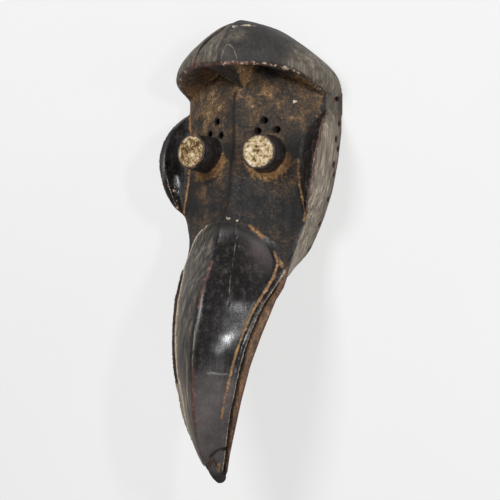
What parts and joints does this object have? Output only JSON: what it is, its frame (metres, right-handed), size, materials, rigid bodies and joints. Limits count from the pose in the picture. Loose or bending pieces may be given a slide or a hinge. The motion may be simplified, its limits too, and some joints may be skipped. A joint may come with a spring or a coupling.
{
  "type": "carved wooden bird mask",
  "caption": "Carved wooden face mask of a bird spirit: long hooked beak, tubular eyes, cheek flanges, overhanging brow, hollow back.",
  "frame": {"origin": "under the middle of the mask, on the flat plane of its rim, which it lies on", "axes": "+Y towards the crown, -Y towards the beak's tip, +Z the way the face looks, +X towards the wearer's left"},
  "size_m": [0.1626, 0.4128, 0.1293],
  "materials": {
    "patinated_wood": "worn semi-gloss patina"
  },
  "bodies": {
    "root": {"kaogle_mask": "patinated_wood"}
  },
  "joints": []
}
